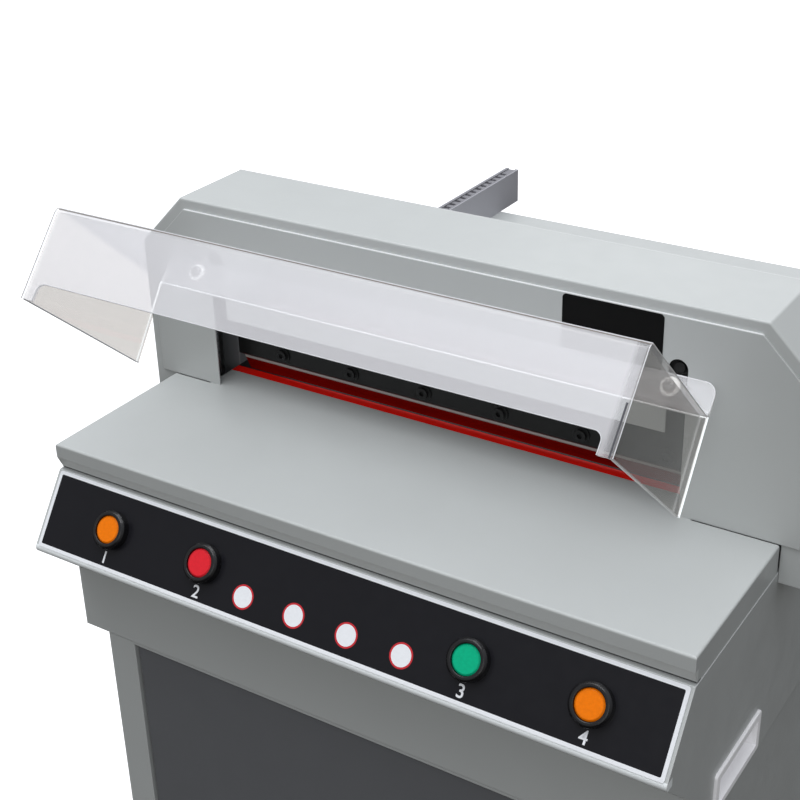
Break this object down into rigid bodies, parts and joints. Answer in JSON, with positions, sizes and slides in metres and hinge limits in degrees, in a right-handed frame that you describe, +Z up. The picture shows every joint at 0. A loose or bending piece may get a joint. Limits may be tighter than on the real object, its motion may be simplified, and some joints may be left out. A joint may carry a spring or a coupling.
{
  "type": "electric paper cutter",
  "caption": "Free-standing guillotine for paper stacks: powered knife and clamp under a clear swinging guard, back gauge on a lead screw, sloped button panel, on a cabinet with a door.",
  "frame": {"origin": "on the floor, under the middle of the whole machine", "axes": "+X to the operator's right along the knife, +Y from the operator to the back, +Z up"},
  "size_m": [0.652, 0.7846, 1.1013],
  "materials": {
    "paint_grey": "fine textured light grey powder coat",
    "paint_charcoal": "dark charcoal powder coat",
    "panel_black": "printed black overlay with a white border",
    "plastic_black": "satin black moulding",
    "plastic_pale": "off-white moulding",
    "lens_orange": "illuminated lens",
    "lens_red": "illuminated lens",
    "lens_green": "illuminated lens",
    "stick_red": "glossy red plastic",
    "steel_black": "black oxide",
    "steel_bright": "ground tool steel",
    "steel_plain": "plain machined steel",
    "cast_grey": "painted casting",
    "aluminium_grey": "grey anodised extrusion",
    "acrylic_clear": "clear acrylic with polished edges",
    "nylon_white": "white nylon",
    "chrome": "plated screws",
    "rubber_black": "black rubber"
  },
  "bodies": {
    "frame": {"bed_plate": "paint_grey", "body_casing": "paint_grey", "button_bezels": "plastic_black", "cabinet_back": "paint_grey", "cabinet_shelf": "paint_grey", "cabinet_shell": "paint_grey", "carry_handle_left": "plastic_pale", "carry_handle_right": "plastic_pale", "clamp_gear_motor": "cast_grey", "control_box": "cast_grey", "cross_beam": "cast_grey", "cutting_stick": "stick_red", "door_hinge_pins": "steel_plain", "face_plate": "paint_grey", "front_table": "paint_grey", "guard_pivot_ears": "steel_plain", "guide_bolts": "steel_black", "head_shell": "paint_grey", "knife_gearbox": "cast_grey", "knife_guide_left": "steel_black", "knife_guide_right": "steel_black", "knife_motor": "cast_grey", "lead_screw_bearings": "steel_plain", "levelling_feet": "rubber_black", "mains_inlet": "plastic_black", "motor_mount": "steel_plain", "panel_overlay": "panel_black", "rear_cover": "paint_grey", "rear_table": "paint_grey", "side_fence_left": "aluminium_grey", "side_fence_right": "aluminium_grey", "side_frame_left": "cast_grey", "side_frame_right": "cast_grey", "switch_bodies": "plastic_black"},
    "knife": {"knife_carrier": "steel_black", "knife_blade": "steel_bright", "knife_bolts": "steel_black", "pull_rods": "steel_plain", "knife_yoke": "steel_plain"},
    "knife_drive": {"knife_lead_screw": "steel_plain"},
    "clamp": {"clamp_beam": "cast_grey", "clamp_rods": "steel_plain", "clamp_nut": "steel_plain"},
    "clamp_drive": {"clamp_screw": "steel_plain"},
    "gauge": {"back_gauge": "aluminium_grey", "gauge_nut": "steel_plain"},
    "crank": {"lead_screw": "steel_plain", "crank_arm": "steel_plain"},
    "knob": {"crank_knob": "plastic_black"},
    "guard": {"guard_hood": "acrylic_clear", "guard_screws": "chrome", "guard_washers": "nylon_white", "guard_pivot_blocks": "steel_plain"},
    "door": {"cabinet_door": "paint_charcoal", "door_knob": "plastic_black"},
    "left_cut_button": {"button_left_cut": "lens_orange"},
    "power_button": {"button_power": "lens_red"},
    "reset_button": {"button_reset": "lens_green"},
    "right_cut_button": {"button_right_cut": "lens_orange"}
  },
  "joints": [
    {"name": "knife_slide", "type": "slide", "parent": "frame", "child": "knife", "axis": [0, 0, 1], "range_m": [-0.0012, 0.045]},
    {"name": "knife_screw_turn", "type": "hinge", "parent": "frame", "child": "knife_drive", "pos_m": [-0.015, -0.16398, 0.689], "axis": [0, 0, 1], "range_deg": [-60, 2040]},
    {"name": "clamp_slide", "type": "slide", "parent": "frame", "child": "clamp", "axis": [0, 0, -1], "range_m": [0, 0.045]},
    {"name": "clamp_screw_turn", "type": "hinge", "parent": "frame", "child": "clamp_drive", "pos_m": [-0.015, -0.12273, 0.989], "axis": [0, 0, 1], "range_deg": [-10, 3250]},
    {"name": "gauge_slide", "type": "slide", "parent": "frame", "child": "gauge", "axis": [0, 1, 0], "range_m": [-0.166, 0.165]},
    {"name": "crank_turn", "type": "hinge", "parent": "frame", "child": "crank", "pos_m": [-0.015, 0.35627, 0.843], "axis": [0, 1, 0], "range_deg": [-6000, 6000]},
    {"name": "crank_knob_spin", "type": "hinge", "parent": "crank", "child": "knob", "pos_m": [-0.015, 0.37127, 0.773], "axis": [0, 1, 0], "continuous": true},
    {"name": "guard_hinge", "type": "hinge", "parent": "frame", "child": "guard", "pos_m": [0, -0.19213, 0.9996], "axis": [1, 0, 0], "range_deg": [0, 42.6]},
    {"name": "door_hinge", "type": "hinge", "parent": "frame", "child": "door", "pos_m": [-0.235, -0.33673, 0.389], "axis": [0, 0, -1], "range_deg": [0, 110]},
    {"name": "left_cut_press", "type": "slide", "parent": "frame", "child": "left_cut_button", "axis": [0, 0.8186, -0.5744], "range_m": [0, 0.003], "stiffness_N_per_m": 500, "springref_m": -0.001},
    {"name": "power_press", "type": "slide", "parent": "frame", "child": "power_button", "axis": [0, 0.8186, -0.5744], "range_m": [0, 0.003], "stiffness_N_per_m": 500, "springref_m": -0.001},
    {"name": "reset_press", "type": "slide", "parent": "frame", "child": "reset_button", "axis": [0, 0.8186, -0.5744], "range_m": [0, 0.003], "stiffness_N_per_m": 500, "springref_m": -0.001},
    {"name": "right_cut_press", "type": "slide", "parent": "frame", "child": "right_cut_button", "axis": [0, 0.8186, -0.5744], "range_m": [0, 0.003], "stiffness_N_per_m": 500, "springref_m": -0.001}
  ],
  "couplings": [
    {"joint": "knife_screw_turn", "follows": "knife_slide", "rad_per_m": 785.4},
    {"joint": "clamp_screw_turn", "follows": "clamp_slide", "rad_per_m": 1256.6},
    {"joint": "crank_turn", "follows": "gauge_slide", "rad_per_m": 628.32}
  ]
}
